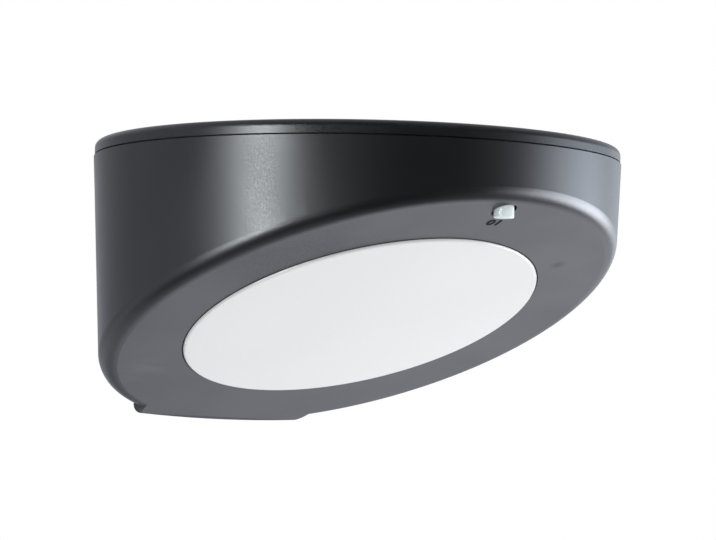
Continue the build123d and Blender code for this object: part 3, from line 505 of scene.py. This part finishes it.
def board(name, lacquer, copper, roughness=0.28):
    """A circuit board: lacquer over copper tracks that run both ways."""
    material, g, shader = surface(name)
    where = g.place()
    parts = g.add("ShaderNodeSeparateXYZ")
    g.join(where, parts.inputs[0])
    zone = g.smooth(g.noise(where, 7 * MM, 0.0), 0.48, 0.5)
    one_way = g.maths("MULTIPLY", g.lines(parts.outputs[0], TRACK_PITCH, TRACK_WIDTH), zone)
    other = g.maths("MULTIPLY", g.lines(parts.outputs[1], TRACK_PITCH, TRACK_WIDTH),
                    g.maths("SUBTRACT", 1.0, zone))
    tracks = g.maths("MAXIMUM", one_way, other)
    g.join(g.blend(tracks, lacquer + (1,), copper + (1,)), shader.inputs["Base Color"])
    weave = g.noise(where, 0.5 * MM)
    g.join(g.smooth(weave, 0.3, 0.7, roughness - 0.05, roughness + 0.07),
           shader.inputs["Roughness"])
    g.join(g.bump(tracks, 0.03 * MM), shader.inputs["Normal"])
    return material


def opal(name):
    """Opal plastic: satin, with a soft cloudiness and a very fine grain."""
    material, g, shader = surface(name)
    where = g.place()
    cloud = g.noise(where, 30 * MM, 1.0)
    fine = g.noise(where, 0.8 * MM, 3.0)
    g.join(shades(g, cloud, (0.727, 0.727, 0.73), 0.012), shader.inputs["Base Color"])
    g.join(g.smooth(fine, 0.3, 0.7, 0.3, 0.4), shader.inputs["Roughness"])
    g.join(g.bump(fine, 0.004 * MM), shader.inputs["Normal"])
    return material


# Spots on the housing: place, radius, change of roughness, and share of dust
HOUSING_SCUFFS = [
    (on_underside(49.5 * MM, -52.0 * MM, 0.0), 4 * MM, 0.14, 0.0),
    (on_underside(-55.4 * MM, 47.7 * MM, 0.0), 14 * MM, 0.0, 0.1),
    (on_underside(-55.0 * MM, -42.0 * MM, 0.0), 48 * MM, 0.12, 0.0),
    (Vector((-75.5 * MM, AXIS_Y - 48.3 * MM, SEAM_Z - 2.0 * MM)), 28 * MM, 0.05, 0.0),
]

# A material for each slot of the record
FINISHES = {
    "housing_plastic": moulded("housing_plastic", (0.0066, 0.0068, 0.0078), 0.32, 0.28, 0.01,
                               wear=0.038, sway=0.8, scuffs=HOUSING_SCUFFS),
    "lid_plastic": moulded("lid_plastic", (0.0062, 0.0064, 0.0074), 0.315, 0.4, 0.004, sway=0.3),
    "rear_plastic": moulded("rear_plastic", (0.0085, 0.0085, 0.0095), 0.48, 0.4, 0.02),
    "black_plastic": moulded("black_plastic", (0.012, 0.012, 0.013), 0.42, 0.4, 0.01),
    "switch_black": moulded("switch_black", (0.013, 0.013, 0.013), 0.38, 0.3, 0.006),
    "chip_black": moulded("chip_black", (0.012, 0.012, 0.012), 0.5, 0.12, 0.008),
    "seal_rubber": moulded("seal_rubber", (0.005, 0.005, 0.0055), 0.7, 0.25, 0.015,
                           Specular_IOR_Level=0.15),
    "panel_backing": moulded("panel_backing", (0.01, 0.011, 0.018), 0.4, 0.5, 0.01,
                             Specular_IOR_Level=0.15),
    "ferrite": moulded("ferrite", (0.03, 0.03, 0.032), 0.6, 0.2, 0.02),
    "opal_plastic": opal("opal_plastic"),
    "button_white": moulded("button_white", (0.8, 0.915, 0.935), 0.25, 0.5, 0.003, 3.0, 0.03,
                            Subsurface_Weight=0.2, Subsurface_Scale=0.002,
                            Specular_IOR_Level=0.3),
    "white_plastic": moulded("white_plastic", (0.85, 0.85, 0.84), 0.3, 0.5, 0.004, variation=0.02),
    "plug_white": moulded("plug_white", (0.78, 0.76, 0.7), 0.4, 0.4, 0.004, variation=0.03),
    "switch_white": moulded("switch_white", (0.8, 0.8, 0.79), 0.35, 0.4, 0.003, variation=0.03),
    "grey_silicone": moulded("grey_silicone", (0.42, 0.42, 0.42), 0.55, 0.4, 0.01, variation=0.05),
    "led_phosphor": moulded("led_phosphor", (0.82, 0.66, 0.2), 0.45, 0.15, 0.01, 1.5, 0.12),
    "cell_sleeve": moulded("cell_sleeve", (0.03, 0.13, 0.38), 0.25, 0.6, 0.003, 8.0, 0.06,
                           Coat_Weight=0.4),
    "switch_wire": moulded("switch_wire", (0.78, 0.78, 0.78), 0.38, 0.4, 0.004, 6.0, 0.04),
    "solar_wire": moulded("solar_wire", (0.52, 0.02, 0.015), 0.36, 0.4, 0.004, 6.0, 0.06),
    "led_wire": moulded("led_wire", (0.8, 0.5, 0.02), 0.36, 0.4, 0.004, 6.0, 0.06),
    "battery_wire": moulded("battery_wire", (0.015, 0.015, 0.016), 0.36, 0.4, 0.004, 6.0, 0.06),
    "solar_silicon": silicon("solar_silicon"),
    "panel_glass": clear_sheet("panel_glass"),
    "green_board": board("green_board", (0.012, 0.11, 0.04), (0.03, 0.17, 0.07)),
    "lamp_board": board("lamp_board", (0.84, 0.84, 0.82), (0.78, 0.78, 0.75)),
    "zinc_steel": metal("zinc_steel", (0.6, 0.61, 0.63), 0.34, (6, 1, 1)),
    "steel_screws": metal("steel_screws", (0.58, 0.58, 0.58), 0.3, spangle=2.0),
    "black_screws": metal("black_screws", (0.045, 0.045, 0.05), 0.42, spangle=1.5),
    "tinned_ribbon": metal("tinned_ribbon", (0.72, 0.72, 0.73), 0.25, (1, 8, 1), spangle=3.0),
    "tinned_contact": metal("tinned_contact", (0.68, 0.68, 0.67), 0.24, spangle=2.5),
    "cell_can": metal("cell_can", (0.66, 0.66, 0.65), 0.26, (1, 5, 5), spangle=5.0),
    "capacitor_can": metal("capacitor_can", (0.3, 0.31, 0.35), 0.34, (1, 1, 4), spangle=3.0),
    "spring_steel": metal("spring_steel", (0.58, 0.58, 0.6), 0.26, grain=0.08, height=0.001,
                          spangle=0.8),
}


# Pieces


def lofted(name, lofts, slot, body, loop=False, smooth_faces=False):
    """A piece of closed lofts. Each goes through sections with equal numbers of points, and is
    capped at its ends or runs in a loop."""
    shape = bmesh.new()
    for sections in lofts:
        rings = [[shape.verts.new(point) for point in section] for section in sections]
        pairs = list(zip(rings, rings[1:]))
        if loop:
            pairs.append((rings[-1], rings[0]))
        else:
            shape.faces.new(rings[0])
            shape.faces.new(rings[-1])
        for first, second in pairs:
            for i in range(len(first)):
                j = (i + 1) % len(first)
                shape.faces.new((first[i], first[j], second[j], second[i]))
    bmesh.ops.recalc_face_normals(shape, faces=shape.faces)
    mesh = bpy.data.meshes.new(name)
    shape.to_mesh(mesh)
    shape.free()
    if smooth_faces:
        mesh.shade_smooth()
    mesh.materials.append(FINISHES[slot])
    piece = link(bpy.data.objects.new(name, mesh))
    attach(piece, body)
    return piece


def ring_on_underside(name, centre, wide, long, stroke, height, steps):
    """A raised ring on the underside in the black rubber finish, with bevelled edges: the off
    mark, and the dark ring round the diffuser that is painted shade for the gap at its edge. The
    stroke is half its width."""
    across, back = centre
    edge = min(MARK_BEVEL, height)
    profile = [(-stroke, -MARK_ROOT), (-stroke, height - edge), (edge - stroke, height),
               (stroke - edge, height), (stroke, height - edge), (stroke, -MARK_ROOT)]
    sections = []
    for step in range(steps):
        angle = 2 * math.pi * step / steps
        c, s = math.cos(angle), math.sin(angle)
        sections.append([
            on_underside(across + (wide + out) * c, back + (long + out) * s, high)
            for out, high in profile
        ])
    lofted(name, [sections], "seal_rubber", "lamp", loop=True)


def make_marks():
    """A raised ring and a raised bar beside the cap, for off and on."""
    ring_on_underside("mark_ring", MARK_RING_AT, *MARK_RING, MARK_STROKE, MARK_HEIGHT, 40)
    across, back = MARK_BAR_AT
    steps = 24
    sections = []
    for inward, high in ((0.0, -MARK_ROOT), (0.0, MARK_HEIGHT - MARK_BEVEL),
                         (MARK_BEVEL, MARK_HEIGHT)):
        stroke = MARK_STROKE - inward
        outline = []
        for step in range(steps):
            angle = 2 * math.pi * step / steps
            end = math.copysign(MARK_BAR_HALF - MARK_STROKE, math.sin(angle + 0.01))
            outline.append(on_underside(across + stroke * math.cos(angle),
                                        back + end + stroke * math.sin(angle), high))
        sections.append(outline)
    lofted("mark_bar", [sections], "seal_rubber", "lamp")


def make_ribbons():
    """Two flat tinned ribbons down each column of cells, just under the clear cover, each a
    little uneven in its line and height as if soldered on."""
    low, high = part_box("solar_cell_ribbons")
    half = RIBBON_HALF
    outer = high.x - half
    lofts = []
    for number, middle in enumerate((-outer, -outer / 3, outer / 3, outer)):
        sections = []
        for step in range(RIBBON_STEPS + 1):
            y = low.y + (high.y - low.y) * step / RIBBON_STEPS
            x = middle + RIBBON_WANDER * math.sin(0.11 * step + 2 * number)
            top = low.z + RIBBON_HEIGHT + RIBBON_WAVE * math.sin(0.9 * step + number)
            low_edge = (low.z + top) / 2
            sections.append([
                (x - half, y, low.z), (x - half, y, low_edge), (x - 0.7 * half, y, top),
                (x + 0.7 * half, y, top), (x + half, y, low_edge), (x + half, y, low.z),
            ])
        lofts.append(sections)
    ribbons = lofted("panel_ribbons", lofts, "tinned_ribbon", "lamp")
    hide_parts("solar_cell_ribbons")


def make_spring():
    """The switch's spring, with closed end turns."""
    low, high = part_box("switch_spring")
    wire = SPRING_WIRE
    radius = (high.x - low.x) / 2 - wire
    middle = (low + high) / 2
    rise = high.z - low.z - 2 * wire
    turns, closed, pitch = SPRING_TURNS, SPRING_CLOSED, SPRING_PITCH_CLOSED
    steps = 20
    sides = 10
    sections = []
    for step in range(turns * steps + 1):
        turn = step / steps
        share = min(max((turn - closed) / (turns - 2 * closed), 0.0), 1.0)
        creep = pitch * (min(turn, closed) + max(turn - turns + closed, 0.0))
        height = creep + share * (rise - 2 * closed * pitch)
        angle = 2 * math.pi * turn
        outward = Vector((math.cos(angle), math.sin(angle), 0))
        centre = Vector((middle.x, middle.y, low.z + wire + height)) + outward * radius
        section = []
        for side in range(sides):
            around = 2 * math.pi * side / sides
            section.append(centre + outward * wire * math.cos(around)
                           + Vector((0, 0, wire * math.sin(around))))
        sections.append(section)
    coil = lofted("spring_coil", [sections], "spring_steel", "lamp", smooth_faces=True)
    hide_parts("switch_spring")
    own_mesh(coil)


make_camera()
make_world()
make_floor()
for lamp in LAMPS:
    make_lamp(*lamp)
for node in NODES.values():
    for held in node.material_slots:
        if held.material:
            held.material = FINISHES.get(held.material.name.split(".")[0], held.material)
make_marks()
# A dark ring round the diffuser: painted shade standing in for the shadow in the gap at its edge
ring_on_underside("diffuser_shade_ring", DIFFUSER_AT, DIFFUSER_R + SHADE_RING_STROKE,
                  DIFFUSER_R + SHADE_RING_STROKE, SHADE_RING_STROKE, SHADE_RING_HEIGHT, 180)
make_ribbons()
make_spring()
bpy.context.scene.view_settings.view_transform = "Standard"
